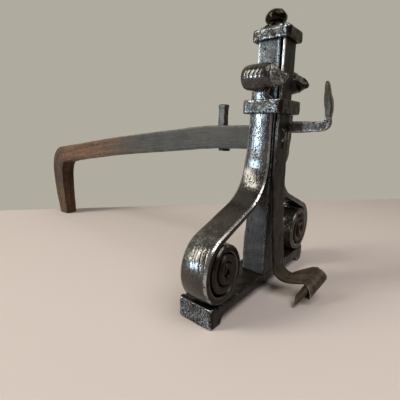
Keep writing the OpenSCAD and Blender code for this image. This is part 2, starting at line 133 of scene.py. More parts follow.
def bar_section(bm, width, thick, corner, cuts_wide, cuts_thick, crown=0.0):
    """A rounded rectangle ring in millimetres: thickness along X, width along Y, +X crowned."""
    w, t = width / 2, thick / 2
    wear, _, across = section_layers(bm)
    known = set(bm.edges)
    corners = [bm.verts.new((x, y, 0)) for x, y in ((t, -w), (t, w), (-t, w), (-t, -w))]
    for i in range(4):
        bm.edges.new((corners[i], corners[(i + 1) % 4]))
    bmesh.ops.bevel(bm, geom=corners, offset=corner, segments=3, affect="VERTICES",
                    profile=0.5, material=-1)
    flats = [e for e in bm.edges if e not in known and e.calc_length() > corner]
    wide = [e for e in flats if abs(e.verts[0].co.x - e.verts[1].co.x) < 0.001]
    deep = [e for e in flats if abs(e.verts[0].co.y - e.verts[1].co.y) < 0.001]
    bmesh.ops.subdivide_edges(bm, edges=wide, cuts=cuts_wide)
    bmesh.ops.subdivide_edges(bm, edges=deep, cuts=cuts_thick)
    ring = [e for e in bm.edges if e not in known]
    for v in ring_verts(ring):
        v[across] = v.co.y
        off_x = max(0, t - abs(v.co.x) - corner * 0.3)
        off_y = max(0, w - abs(v.co.y) - corner * 0.3)
        v[wear] = math.exp(-((math.hypot(off_x, off_y) / (corner * 0.9)) ** 2))
        if v.co.x > t * 0.5:
            v.co.x -= crown * (v.co.y / w) ** 2
    return ring


trial = bmesh.new()
print("a section of the post has", len(bar_section(trial, post_w, post_w, 2.0, 18, 18)), "edges")
trial.free()

# %% Square and round sections
def lines_all_round(bm, ring):
    """Lets the drawn-out lines of a square bar differ on all four sides."""
    _, _, across = section_layers(bm)
    for v in ring_verts(ring):
        v[across] += v.co.x


def round_section(bm, radius, sides):
    """A circle of edges for a piece that is drawn out round."""
    section_layers(bm)
    known = set(bm.edges)
    bmesh.ops.create_circle(bm, segments=sides, radius=radius, cap_ends=False)
    return [e for e in bm.edges if e not in known]


trial = bmesh.new()
print("a round section has", len(round_section(trial, 1.0, 88)), "edges")
trial.free()

# %% Drawing out
def capped(places, thick, width, count, step):
    """Adds places that shrink at both ends, so that the end faces are dented by the hammer too."""
    def shrink(m, k):
        t, w = m.col[0].xyz.length / MM * thick, m.col[1].xyz.length / MM * width
        return m @ Matrix.Diagonal((1 - 2 * k * step / t, 1 - 2 * k * step / w, 1, 1))

    return ([shrink(places[0], k) for k in range(count, 0, -1)] + places
            + [shrink(places[-1], k) for k in range(1, count + 1)])


def draw_out(bm, ring, places, closed=False):
    """Extrudes the ring from the first place to the last and closes both ends."""
    _, along, _ = section_layers(bm)
    bmesh.ops.transform(bm, matrix=places[0], verts=ring_verts(ring))
    first, run = ring, 0.0
    for before, after in zip(places, places[1:]):
        run += (after.translation - before.translation).length / MM
        made = bmesh.ops.extrude_edge_only(bm, edges=ring)["geom"]
        fresh = [v for v in made if isinstance(v, bmesh.types.BMVert)]
        new_verts = set(fresh)
        ring = [e for e in made if isinstance(e, bmesh.types.BMEdge)
                and e.verts[0] in new_verts and e.verts[1] in new_verts]
        bmesh.ops.transform(bm, matrix=after @ before.inverted(), verts=fresh)
        for v in fresh:
            v[along] = run
    if closed:
        bmesh.ops.bridge_loops(bm, edges=first + ring)
    else:
        for end in (first, ring):
            bmesh.ops.contextual_create(bm, geom=end)
    bmesh.ops.recalc_face_normals(bm, faces=bm.faces)
    return bm


print("helpers:", [f.__name__ for f in (capped, draw_out)])

# %% Places
def place(centre, thick_axis, width_axis, thick=1.0, width=1.0):
    """A section's place: unit axes scaled by the section's thickness and width there."""
    a, b = Vector(thick_axis) * thick * MM, Vector(width_axis) * width * MM
    c = a.cross(b).normalized() * MM
    m = Matrix((a, b, c)).transposed().to_4x4()
    m.translation = centre
    return m


def forge(section, places, all_round=False, closed=False, bm=None):
    """Draws a bar of this section out through the places, as a fresh mesh or added to one."""
    if bm is None:
        bm = bmesh.new()
    ring = bar_section(bm, *section)
    if all_round:
        lines_all_round(bm, ring)
    return draw_out(bm, ring, places, closed)


trial = forge((post_w, post_w, 2.0, 18, 18), [place(at(0, 0, z), (0, 1, 0), (1, 0, 0)) for z in (0, 10)])
print("a trial bar drawn out in one step has", len(trial.faces), "faces")
trial.free()

# %% Smooth lines and numbers
def hermite(a, slope_a, b, slope_b, s):
    """From a to b as s goes from 0 to 1, leaving and arriving with these slopes."""
    return ((2 * s**3 - 3 * s**2 + 1) * a + (s**3 - 2 * s**2 + s) * slope_a
            + (3 * s**2 - 2 * s**3) * b + (s**3 - s**2) * slope_b)


def smooth(points, steps):
    """A smooth line of tuples through a few tuples."""
    line = []
    for i in range(len(points) - 1):
        p0, p1, p2, p3 = (points[min(max(i + j, 0), len(points) - 1)] for j in (-1, 0, 1, 2))
        for k in range(steps):
            line.append(tuple(hermite(b, (c - a) / 2, c, (d - b) / 2, k / steps)
                              for a, b, c, d in zip(p0, p1, p2, p3)))
    return line + [tuple(points[-1])]


def ease(x):
    """A soft step from 0 to 1."""
    c = min(max(x, 0.0), 1.0)
    return c * c * (3 - 2 * c)


def mix(a, b, t):
    return a * (1 - t) + b * t


def follow(table, x):
    """Reads a table of (x, value) pairs, with eased steps between them and level ends."""
    for (x0, v0), (x1, v1) in zip(table, table[1:]):
        if x < x1:
            return mix(v0, v1, ease((x - x0) / (x1 - x0)))
    return table[-1][1]


print("a quarter of the way up a soft step of 10:", mix(0, 10, ease(0.25)))

# %% [markdown]
# ## Hammer marks and chisel cuts
# A hammered face is a patchwork of shallow dents, and a forged edge wanders a little. Noise moves
# each vertex along its normal: a broad swell for the hammer and a finer one for scale lost in the
# fire. Streaks run along the bar, as a drawn-out bar shows. This is done in the mesh and not by
# bump alone, so that the outline wanders too; the pits are left to the finish.

# %% Hammer and chisel
streak_size, streak_length = 1.4, 30.0


def hammer(bm, dent, size, fine, fine_size, streak=0.0, seed=0):
    """Dents of a depth and a size in millimetres, finer ones, and streaks along the bar."""
    _, along, across = section_layers(bm)
    bm.normal_update()
    shift = Vector((seed * 7.3, seed * 3.1, seed * 5.7))
    for v in bm.verts:
        p = v.co / MM
        depth = noise.noise(p / size + shift) * dent + noise.noise(p / fine_size - shift) * fine
        if streak:
            spot = Vector((v[across] / streak_size, v[along] / streak_length, seed))
            depth += noise.noise(spot) * streak
        v.co += v.normal * (depth - dent * 0.25) * MM


print("streaks are", streak_size, "mm wide and", streak_length, "mm long")

# %% Wear
def scale_wear(bm, share):
    """Multiplies each vertex's wear by share(vertex)."""
    wear, _, _ = section_layers(bm)
    for v in bm.verts:
        v[wear] *= share(v)


def rub_sides(bm, amount):
    """Adds wear, by amount(height), on faces that look sideways: there hands and stacks rub."""
    wear, _, _ = section_layers(bm)
    bm.normal_update()
    for v in bm.verts:
        v[wear] = min(1.0, v[wear] + amount(v.co.z / MM) * v.normal.x**2)


print("wear follows height and the way a face looks")

# %% Chisel
cut_reach = 2.2


def chisel(bm, line, depth, width):
    """Sinks a cut along a line of points that lie on the face."""
    bm.normal_update()
    points = [at(*p) for p in line]
    reach = width * MM
    margin = cut_reach * reach
    low = Vector([min(p[i] for p in points) - margin for i in range(3)])
    high = Vector([max(p[i] for p in points) + margin for i in range(3)])
    for v in bm.verts:
        if not (low.x < v.co.x < high.x and low.y < v.co.y < high.y and low.z < v.co.z < high.z):
            continue
        best = margin
        for a, b in zip(points, points[1:]):
            t = min(max((v.co - a).dot(b - a) / (b - a).length_squared, 0.0), 1.0)
            best = min(best, (v.co - a.lerp(b, t)).length)
        if best < margin:
            v.co -= v.normal * (depth * MM * math.exp(-((best / reach) ** 2)))


print("a chisel cut is felt over", cut_reach, "times its width on each side")

# %% Finished pieces
side_margin = 0.1
widest = cad_box[1][0] - side_margin * MM


def finish_piece(bm, name, material, slot, *nodes):
    """Keeps the mesh inside the solids' box, and makes it a piece that hides its plain solid."""
    for v in bm.verts:
        v.co.x = min(max(v.co.x, -widest), widest)
        v.co.z = max(v.co.z, 0.0)
    mesh = bpy.data.meshes.new(name)
    bm.to_mesh(mesh)
    bm.free()
    mesh.polygons.foreach_set("use_smooth", [True] * len(mesh.polygons))
    mesh.materials.append(material)
    piece = bpy.data.objects.new(name, mesh)
    bpy.context.scene.collection.objects.link(piece)
    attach(piece, "root")
    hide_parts(*nodes)
    print(name, len(mesh.polygons), "faces")


print("pieces stay within", round(widest / MM, 2), "mm of the middle")

# %% [markdown]
# ## The finish of old iron
# Old andirons are black-brown from wax and smoke, and they look dark because they mirror a dark
# room; where they mirror a window they flash. So the skin is dark and glossy, not grey, and the
# bare metal only shows through it as specks and along rubbed edges. The effects are shared by all
# the irons, so each is a node group that is built once: *iron_relief* gives the height of scale,
# pits and grain, *iron_surface* mixes the tones. The metal itself stays in each material, which
# adds two things of its own: rust that sets in along the bar, and a skin that mirrors more where
# nothing has worn it. A painted texture could do it, but noise stays sharp at any distance.

# %% Node helpers
def feed(tree, inputs, values):
    """Fills sockets, by name or number, with a link from another socket or with a constant."""
    for label, value in values.items():
        if isinstance(value, bpy.types.NodeSocket):
            tree.links.new(value, inputs[label])
        else:
            inputs[label].default_value = value


def new_group(name, inputs, outputs):
    """A node group, the sockets that it is given and the sockets that it fills."""
    group = bpy.data.node_groups.new(name, "ShaderNodeTree")
    for kind, label, value in inputs:
        socket = group.interface.new_socket(label, in_out="INPUT", socket_type="NodeSocket" + kind)
        socket.default_value = value
    for kind, label in outputs:
        group.interface.new_socket(label, in_out="OUTPUT", socket_type="NodeSocket" + kind)
    given, result = group.nodes.new("NodeGroupInput"), group.nodes.new("NodeGroupOutput")
    return group, given.outputs, result.inputs


print("helpers:", [f.__name__ for f in (feed, new_group)])

# %% Sums
def math_node(tree, kind, a, b, clamp=False):
    node = tree.nodes.new("ShaderNodeMath")
    node.operation = kind
    node.use_clamp = clamp
    feed(tree, node.inputs, {0: a, 1: b})
    return node.outputs[0]


def times(tree, a, b):
    return math_node(tree, "MULTIPLY", a, b)


def plus(tree, a, b):
    return math_node(tree, "ADD", a, b)


def minus(tree, a, b):
    return math_node(tree, "SUBTRACT", a, b)


print("sums of sockets:", [f.__name__ for f in (times, plus, minus)])

# %% Steps, noise and mixes
def remap(tree, value, low, high, to_low=0.0, to_high=1.0):
    """A soft step of a socket's value, from to_low at low to to_high at high."""
    node = tree.nodes.new("ShaderNodeMapRange")
    node.interpolation_type = "SMOOTHSTEP"
    feed(tree, node.inputs, {"Value": value, "From Min": low, "From Max": high,
                             "To Min": to_low, "To Max": to_high})
    return node.outputs["Result"]


def mottle(tree, coords, scale, detail, rough):
    """Noise; scale is in cells to a unit of the coordinates."""
    node = tree.nodes.new("ShaderNodeTexNoise")
    feed(tree, node.inputs, {"Vector": coords, "Scale": scale, "Detail": detail, "Roughness": rough})
    return node.outputs["Fac"]


def mix_float(tree, factor, a, b):
    node = tree.nodes.new("ShaderNodeMix")
    feed(tree, node.inputs, {0: factor, 2: a, 3: b})
    return node.outputs[0]


def mix_colour(tree, factor, a, b):
    node = tree.nodes.new("ShaderNodeMix")
    node.data_type = "RGBA"
    feed(tree, node.inputs, {0: factor, 6: a, 7: b})
    return node.outputs[2]


print("noise and mixes:", [f.__name__ for f in (remap, mottle, mix_float, mix_colour)])

# %% The shared iron relief
pit_cells, pit_warp, pit_depth = 380.0, 0.003, 0.22
patch_height, coarse_height, fine_height = 0.12, 0.10, 0.012


def build_relief():
    """Height of forge scale, pits and grain, in millimetres."""
    group, given, result = new_group(
        "iron_relief", [("Vector", "Vector", (0, 0, 0)), ("Float", "Pits", 0.5), ("Float", "Grain", 0.3)],
        [("Float", "Height"), ("Float", "Pit mask")])
    coords = given["Vector"]
    warp_noise = group.nodes.new("ShaderNodeTexNoise")
    feed(group, warp_noise.inputs, {"Vector": coords, "Scale": 330.0})
    warped = group.nodes.new("ShaderNodeVectorMath")
    warped.operation = "MULTIPLY_ADD"
    feed(group, warped.inputs, {0: warp_noise.outputs["Color"], 1: (pit_warp, pit_warp, pit_warp), 2: coords})
    cells = group.nodes.new("ShaderNodeTexVoronoi")
    cells.feature = "SMOOTH_F1"
    feed(group, cells.inputs, {"Vector": warped.outputs[0], "Scale": pit_cells, "Smoothness": 0.5})
    pit_here = remap(group, mottle(group, coords, 90.0, 3.0, 0.5), 0.40, 0.60)
    pit_shape = remap(group, cells.outputs["Distance"], 0.08, 0.45, 1.0, 0.0)
    pits = times(group, times(group, pit_shape, pit_here), given["Pits"])
    scale_patches = times(group, mottle(group, coords, 150.0, 1.0, 0.5), patch_height)
    coarse = times(group, mottle(group, coords, 400.0, 1.0, 0.5), coarse_height)
    fine = times(group, mottle(group, coords, 1500.0, 1.0, 0.5), fine_height)
    grain = times(group, plus(group, coarse, fine), given["Grain"])
    height = minus(group, plus(group, scale_patches, grain), times(group, pits, pit_depth))
    feed(group, result, {"Height": height, "Pit mask": pits})
    return group


iron_relief = build_relief()
print("relief group", len(iron_relief.nodes), "nodes")

# %% The shared iron surface
pit_bottom = (0.010, 0.007, 0.005, 1)
worn_from, worn_to = 0.62, 0.95


def build_surface():
    """Mixes the dark skin, a second tone and the bare rubbed metal."""
    group, given, result = new_group(
        "iron_surface",
        [("Vector", "Vector", (0, 0, 0)), ("Float", "Wear", 0.0), ("Float", "Edge", 0.5),
         ("Float", "Pit mask", 0.0), ("Float", "Rub", 0.0), ("Float", "Speck", 0.5),
         ("Color", "Skin", (0.03, 0.025, 0.02, 1)), ("Color", "Second", (0.06, 0.05, 0.04, 1)),
         ("Color", "Bare", (0.4, 0.39, 0.37, 1)), ("Float", "Rough skin", 0.42),
         ("Float", "Rough bare", 0.24), ("Float", "Lines", 0.5)],
        [("Color", "Colour"), ("Float", "Roughness"), ("Float", "Bare mask")])
    coords, wear, pit_mask = given["Vector"], given["Wear"], given["Pit mask"]
    clouds = remap(group, mottle(group, coords, 38.0, 5.0, 0.62), 0.36, 0.66)
    clouds = mix_float(group, 0.55, clouds, given["Lines"])
    specks = remap(group, mottle(group, coords, 500.0, 1.0, 0.5), 0.48, 0.58)
    patches = remap(group, mottle(group, coords, 75.0, 4.0, 0.6), 0.2, 0.8, 0.43, 0.58)
    worn = plus(group, times(group, wear, given["Edge"]), patches)
    worn = minus(group, plus(group, worn, given["Rub"]), times(group, pit_mask, 0.6))
    unpolished = minus(group, 1.0, math_node(group, "POWER", wear, 4.0))
    speckled = mix_float(group, times(group, given["Speck"], unpolished), 1.0, specks)
    bare = math_node(group, "MULTIPLY", remap(group, worn, worn_from, worn_to), speckled, True)
    skin = mix_colour(group, clouds, given["Skin"], given["Second"])
    colour = mix_colour(group, bare, skin, given["Bare"])
    rough = mix_float(group, bare, given["Rough skin"], given["Rough bare"])
    rough = plus(group, rough, times(group, minus(group, clouds, 0.5), 0.10))
    sunk = remap(group, pit_mask, 0.10, 0.32)
    feed(group, result, {"Colour": mix_colour(group, sunk, colour, pit_bottom),
                         "Roughness": mix_float(group, sunk, rough, 0.7), "Bare mask": bare})
    return group


iron_surface = build_surface()
print("surface group", len(iron_surface.nodes), "nodes")

# %% Parts of an iron
def attribute(tree, name):
    """One of the three numbers kept on the vertices."""
    node = tree.nodes.new("ShaderNodeAttribute")
    node.attribute_name = name
    return node.outputs["Fac"]


def shared(tree, group, values):
    """Places a shared node group in a material and gives its outputs."""
    node = tree.nodes.new("ShaderNodeGroup")
    node.node_tree = group
    feed(tree, node.inputs, values)
    return node.outputs


def rust_masks(tree, coords, bar_coords, along, lines, bare, start, end):
    """Where rust lies, setting in from start to end along the bar, and where it is dark."""
    drift = times(tree, minus(tree, mottle(tree, coords, 45.0, 5.0, 0.65), 0.5), (end - start) * 0.6)
    rusty = times(tree, remap(tree, plus(tree, along, drift), start, end), minus(tree, 1.0, bare))
    patchy = remap(tree, mottle(tree, coords, 160.0, 4.0, 0.7), 0.40, 0.62)
    grown = remap(tree, mottle(tree, bar_coords, 0.17, 2.0, 0.6), 0.42, 0.58)
    deep = mix_float(tree, 0.65, patchy, mix_float(tree, 0.35, grown, lines))
    past_the_bend = remap(tree, along, 480.0, 540.0, 0.0, 0.35)
    return rusty, math_node(tree, "ADD", deep, past_the_bend, True)


print("an iron reads the attributes wear, along and across")

# %% The irons
def iron(name, skin, second, bare=(0.46, 0.46, 0.45), rub=0.0, edge=0.35, speck=0.8, pits=0.5, grain=0.4,
         rough=(0.34, 0.24), metal=(0.25, 0.9), gloss=0.3, matt=None, rust=None):
    """An iron. rough and metal hold (skin, bare) and matt is how metallic unworn skin is."""
    material = bpy.data.materials.new(name)
    material.use_nodes = True
    tree = material.node_tree
    coords = tree.nodes.new("ShaderNodeTexCoord").outputs["Object"]
    wear, along, across = (attribute(tree, label) for label in ("wear", "along", "across"))
    bar_spot = tree.nodes.new("ShaderNodeCombineXYZ")
    feed(tree, bar_spot.inputs, {"X": across, "Y": times(tree, along, 0.04)})
    bar_coords = bar_spot.outputs[0]
    lines = remap(tree, mottle(tree, bar_coords, 0.5, 2.0, 0.6), 0.36, 0.64)
    heights = shared(tree, iron_relief, {"Vector": coords, "Pits": pits, "Grain": grain})
    tones = shared(tree, iron_surface, {
        "Vector": coords, "Wear": wear, "Pit mask": heights["Pit mask"], "Lines": lines, "Rub": rub,
        "Edge": edge, "Speck": speck, "Skin": (*skin, 1), "Second": (*second, 1), "Bare": (*bare, 1),
        "Rough skin": rough[0], "Rough bare": rough[1]})
    colour, roughness, bare_mask = tones["Colour"], tones["Roughness"], tones["Bare mask"]
    metallic = mix_float(tree, bare_mask, *metal)
    if matt:
        metallic = mix_float(tree, remap(tree, wear, 0.025, 0.06), matt, metallic)
    if rust:
        start, end, light_rust, dark_rust, rust_rough, rust_metal = rust
        rusty, deep = rust_masks(tree, coords, bar_coords, along, lines, bare_mask, start, end)
        colour = mix_colour(tree, rusty, colour, mix_colour(tree, deep, (*light_rust, 1), (*dark_rust, 1)))
        roughness = mix_float(tree, rusty, roughness, rust_rough)
        metallic = mix_float(tree, rusty, metallic, rust_metal)
    bump = tree.nodes.new("ShaderNodeBump")
    feed(tree, bump.inputs, {"Strength": 1.0, "Distance": MM, "Height": heights["Height"]})
    feed(tree, tree.nodes["Principled BSDF"].inputs, {
        "Base Color": colour, "Roughness": roughness, "Metallic": metallic,
        "Normal": bump.outputs["Normal"], "Specular IOR Level": gloss})
    return material


waxed = iron("waxed_iron", (0.013, 0.010, 0.007), (0.028, 0.020, 0.013), rub=-0.03, edge=0.45,
             pits=0.35, grain=0.5, rough=(0.30, 0.32), metal=(0.5, 0.9))
rubbed = iron("rubbed_iron", (0.008, 0.006, 0.004), (0.024, 0.016, 0.009), edge=0.6, pits=0.6, grain=0.35,
              rough=(0.18, 0.16), gloss=0.9, matt=0.92,
              rust=(540.0, 580.0, (0.036, 0.023, 0.014), (0.018, 0.011, 0.006), 0.42, 0.9))
pitted = iron("pitted_iron", (0.013, 0.009, 0.006), (0.032, 0.024, 0.018), (0.46, 0.53, 0.58), rub=-0.03,
              edge=0.5, speck=1.0, pits=0.8, grain=0.8, rough=(0.34, 0.36), metal=(0.7, 0.9), gloss=0.2)
browned = iron("browned_iron", (0.005, 0.004, 0.003), (0.036, 0.027, 0.020), (0.42, 0.42, 0.41), rub=-0.06,
               edge=0.55, pits=0.35, grain=0.5, rough=(0.44, 0.34), metal=(0.7, 0.9), gloss=0.15,
               rust=(250.0, 340.0, (0.092, 0.067, 0.047), (0.030, 0.021, 0.014), 0.42, 0.0))
hooked = iron("hook_iron", (0.030, 0.024, 0.018), (0.060, 0.052, 0.044), rub=0.04, edge=0.5, speck=1.0,
              pits=0.8, grain=0.8, rough=(0.34, 0.30),
              rust=(44.0, 78.0, (0.060, 0.045, 0.024), (0.030, 0.022, 0.010), 0.38, 0.0))
smoked = iron("smoked_iron", (0.020, 0.017, 0.015), (0.062, 0.054, 0.048), (0.26, 0.25, 0.24), rub=-0.08,
              pits=0.3, grain=1.0, rough=(0.55, 0.45), metal=(0.1, 0.7),
              rust=(200.0, 370.0, (0.158, 0.074, 0.029), (0.028, 0.013, 0.005), 0.60, 0.0))
scaled = iron("scaled_iron", (0.026, 0.025, 0.026), (0.052, 0.050, 0.052), (0.40, 0.46, 0.50), rub=-0.03,
              edge=0.5, speck=0.9, pits=0.8, grain=0.8, rough=(0.45, 0.50), metal=(0.3, 0.9), gloss=0.25)
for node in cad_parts.values():
    node.data.materials.clear()
    node.data.materials.append(waxed)
print("irons:", [m.name for m in (waxed, rubbed, pitted, browned, hooked, smoked, scaled)])

# %% [markdown]
# ## The base bar
# A broad flat bar, arched underneath so that it stands on its two ends, with a low lip forged up
# at each end. It is drawn out along X: the section's height follows the arch and the lip, and its
# width shrinks at the ends, which rounds the corners seen from above. A cube with bevels would be
# quicker, but its end faces would have no inner vertices; here the places go on shrinking to the
# middle of each end face, so that the hammer dents it as well.

# %% Base bar
def corner_gap(radius, into):
    """How far a round corner still stands back, this far in from the end."""
    return radius - math.sqrt(max(radius**2 - max(radius - into, 0.0) ** 2, 0.0))


def base_places():
    half, pad, arch, lip, corner, soft = base_l / 2, 17.0, 9.0, 2.0, 4.5, 1.5
    lip_from, lip_run = 6.5, 3.5
    inward = [soft * (1 - math.cos(math.radians(15 * k))) for k in range(7)]
    inward += [soft + 0.75 * k for k in range(1, 20)] + [pad + 0.9 * k for k in range(12)]
    while inward[-1] < half - 1:
        inward.append(inward[-1] + 2.0)
    places = []
    for x in [-half + s for s in inward] + [half - s for s in inward[::-1]]:
        near_end = half - abs(x)
        into_arch = min(max(near_end - pad, 0.0), arch)
        under = math.sqrt(max(arch**2 - (arch - into_arch) ** 2, 0.0))
        top = base_h + lip * (1 - ease((near_end - lip_from) / lip_run))
        squeeze = corner_gap(soft, near_end)
        narrow = base_w - 2 * max(corner_gap(corner, near_end), squeeze)
        low, high = under + squeeze, top - squeeze
        places.append(place(at(x, 0, (low + high) / 2), (0, 0, 1), (0, 1, 0),
                            (high - low) / base_h, narrow / base_w))
    return places


bm = forge((base_w, base_h, 2.4, 44, 16), capped(base_places(), base_h, base_w, 10, 1.05))
end_face = (base_l / 2 - 0.1) * MM
scale_wear(bm, lambda v: 0.0 if abs(v.co.x) > end_face else 0.5)
rub_sides(bm, lambda z: 0.62)
hammer(bm, 0.55, 12.0, 0.14, 2.8, seed=1)
finish_piece(bm, "base_bar_forged", pitted, "forged_iron", "base_bar")

# %% [markdown]
# ## The post
# A square bar behind the straps. Its foot swells to the rear before it goes into the base, so it
# is drawn out upwards with a section that gets shallower. Its tenons stay with the plain solid,
# because nobody sees them.

# %% Post
post_swell = [(65, 4.8), (90, 3.1), (140, 0.0)]
post_steps = 150
places = []
for k in range(post_steps + 1):
    z = mix(base_h, post_top, k / post_steps)
    back = post_back + follow(post_swell, z)
    places.append(place(at(0, (front_y + back) / 2, z), (0, 1, 0), (1, 0, 0), (back - front_y) / post_w))
bm = forge((post_w, post_w, 2.0, 18, 18), places, all_round=True)
rub_sides(bm, lambda z: 0.45)
scale_wear(bm, lambda v: mix(0.45, 1.0, ease((v.co.z / MM - 130) / 100)))
hammer(bm, 0.4, 11.0, 0.06, 2.6, streak=0.05, seed=2)
finish_piece(bm, "post_forged", scaled, "forged_iron", "post")

# %% [markdown]
# ## The side straps
# Each side strap starts as a tight roll at the head, runs down the post, sweeps outwards and ends
# in the big volute. One line in X and Z holds all of this, and each place on it says how thick
# the strap is and where its front and back edges lie. The volute is wound from the outside: a
# turn's outer face lies against the turn before it, so its radius is found from that turn's inner
# face, less the gap that the smith left.

# %% Side strap measures
head_x, head_z, head_r = 31.0, 268.0, 14.0
side_t, side_w = 8.0, 34.7
side_mid = post_x + side_t / 2
sweep_r, sweep_turn, sweep_top = 57.6, 70.0, 173.5
volute_x, volute_r, volute_pitch, squash = 102.7, 43.75, 12.4, 0.9
volute_low = 177
volute_drop = (volute_r - volute_pitch * volute_low / 360) * math.sin(math.radians(volute_low - 90))
volute_z = base_h - 0.3 + volute_drop
volute_start, volute_end = 18.0, 1165.0
volute_thick = [(0, 9.2), (60, 11.0), (110, 11.4), (150, 11.0), (210, 10.3), (270, 9.6), (360, 9.6),
                (430, 10.6), (540, 10.8), (640, 10.2), (720, 9.2), (810, 9.6), (900, 10.2), (980, 9.3),
                (1060, 7.4), (1120, 5.4), (1170, 4.0)]
volute_gap = [(0, 0.9), (50, 1.9), (100, 2.2), (160, 1.8), (230, 0.5), (400, 0.3), (900, 0.3)]
head_turns = [(0.0, 14.0), (0.2, 14.3), (0.72, 14.3), (1.0, 8.6), (1.7, 8.4), (2.0, 4.2), (2.6, 4.0)]
rear_edge = [(120, 4.9), (167, 4.2), (186, 1.8), (229, 0.0)]


def back_of(z):
    """Y of the strap's back edge at height z: it widens on its way down."""
    return side_back + follow(rear_edge, z)


def outer_radius(t):
    """Radius of the volute's outer face, t degrees past its top."""
    if t <= 360:
        return volute_r - volute_pitch * t / 360
    return outer_radius(t - 360) - follow(volute_thick, t - 360) - follow(volute_gap, t - 360)


def volute_point(t, r):
    """X and Z in the volute, t degrees past its top and r from its core."""
    a = math.radians(90 - t)
    return volute_x + squash * r * math.cos(a), volute_z + r * math.sin(a)


def spiral(t):
    """Middle of the strap in the volute, t degrees past the volute's top."""
    return volute_point(t, outer_radius(t) - follow(volute_thick, t) / 2)


print("the volute's core lies at z =", round(volute_z, 1), "and its last turn ends at", spiral(volute_end))

# %% Side strap line
def head_line(turns):
    """The roll at the head, from its inner end to the column: (x, z, half, front, back)."""
    line = []
    steps_a_turn = 56
    for i in range(int(turns * steps_a_turn), -1, -1):
        k = i / steps_a_turn
        half = 2.5 - 0.35 * k
        middle = follow(head_turns, k) - half
        a = math.radians(180 - 360 * k)
        bulge = 2.2 * ease(k / 0.35) + 1.2 * ease((k - 0.8) / 0.8)
        line.append((head_x + middle * math.cos(a), head_z + middle * math.sin(a), half,
                     front_y - 0.4 - 2.6 * ease(k / 0.25), side_back + bulge))
    return line


def column_line():
    """Down the side of the post and out along the sweep."""
    line = []
    column_steps, sweep_steps = 47, 36
    for i in range(1, column_steps):
        z = mix(head_z, sweep_top, i / column_steps)
        s = ease((head_z - z) / 22)
        neck = ease((265 - z) / 9) * ease((z - 245) / 5)
        line.append((mix(head_x - head_r + 2.5, side_mid, s), z, mix(2.5, side_t / 2, s),
                     front_y + 6 * neck - 0.4 * (1 - s), back_of(z) - 0.5 * neck))
    for i in range(sweep_steps + 1):
        a = math.radians(180 + sweep_turn * i / sweep_steps)
        x, z = side_mid + sweep_r + sweep_r * math.cos(a), sweep_top + sweep_r * math.sin(a)
        line.append((x, z, mix(side_t, 9.0, 0.5 * i / sweep_steps) / 2, front_y, back_of(z)))
    return line


def volute_line(end_x, end_z):
    """From the sweep's end over the top of the volute and in to its eye."""
    line = []
    join_x, join_z = spiral(volute_start)
    join_steps = 17
    for i in range(1, join_steps):
        s = i / join_steps
        line.append((mix(end_x, join_x, s), mix(end_z, join_z, s),
                     mix(8.5, follow(volute_thick, volute_start), s) / 2, front_y, back_of(120)))
    t = volute_start
    while t < volute_end:
        x, z = spiral(t)
        bulge = 1.0 * ease((t - 330) / 120) + 2.6 * ease((t - 640) / 160)
        line.append((x, z, follow(volute_thick, t) / 2, front_y - bulge, back_of(60) + 0.6 * bulge))
        t += math.degrees(1.75 / max(outer_radius(t), 7.0))
    return line


head, column = head_line(2.4), column_line()
coil = volute_line(*column[-1][:2])
print("the strap's line has", len(head), "+", len(column), "+", len(coil), "points")

# %% Side strap places
def strap_places(line, side):
    places = []
    for i, (x, z, half, front, back) in enumerate(line):
        before, after = line[max(i - 1, 0)], line[min(i + 1, len(line) - 1)]
        dx, dz = after[0] - before[0], after[1] - before[1]
        length = math.hypot(dx, dz)
        normal = (-dz / length * side, 0, dx / length)
        places.append(place(at(x * side, (front + back) / 2, z), normal, (0, 1, 0),
                            2 * half / side_t, (back - front) / side_w))
    return places


print("the volute ends", round(coil[-1][0] - volute_x, 1), "mm beside its core")

# %% Wear on the side strap
face_wear, head_wear = 0.18, 0.24
patch_back, patch_length, patch_wear = 164, 26, 0.18


def strap_section(bm):
    """The strap's crowned section: its outer face is worn all over, its inner face hardly."""
    ring = bar_section(bm, side_w, side_t, 2.3, 46, 3, crown=1.1)
    wear, _, _ = section_layers(bm)
    for v in ring_verts(ring):
        v[wear] = v[wear] * 0.3 if v.co.x < 0 else max(v[wear], face_wear if v.co.x > side_t * 0.3 else 0)
        if abs(v.co.y) > side_w / 2 - 0.2:
            v[wear] = v[wear] ** 3 * 0.5
    return ring


def wear_strap(bm, coil_from):
    """Wear fades into the coil, lies in a patch on the volute's shoulder and covers the head."""
    wear, along, _ = section_layers(bm)
    for v in bm.verts:
        past = v[along] - coil_from
        v[wear] *= mix(1.0, 0.1, ease(past / 30)) * mix(1.0, 0.4, ease((past + 135) / 40))
        if v[wear] > face_wear - 0.01:
            v[wear] += patch_wear * math.exp(-(((past + patch_back) / patch_length) ** 2))
        if v.co.z / MM > head_z - head_r - 1:
            v[wear] = max(v[wear], head_wear)


print("a worn patch lies", patch_back, "mm before the coil")

# %% Head and chisel cuts
def round_head(bm, side):
    """Domes the ends of the rolled head, as the hammer leaves them."""
    low, high = front_y - 3.0, side_back + 2.2
    middle, half = (low + high) / 2, (high - low) / 2
    for v in bm.verts:
        x, y, z = v.co.x / MM * side - head_x, (v.co.y - middle_y) / MM, v.co.z / MM - head_z
        r = math.hypot(x, z)
        if z > -head_r - 1 and r < head_r + 1.5 and x > -head_r - 1.5:
            u = min(abs(y - middle) / half, 1.1)
            squeeze = 1 - 0.20 * u**5 * ease((r - 5) / 6) * ease((x + z + 26) / 10)
            v.co.x += (squeeze - 1) * x * side * MM
            v.co.z += (squeeze - 1) * z * MM


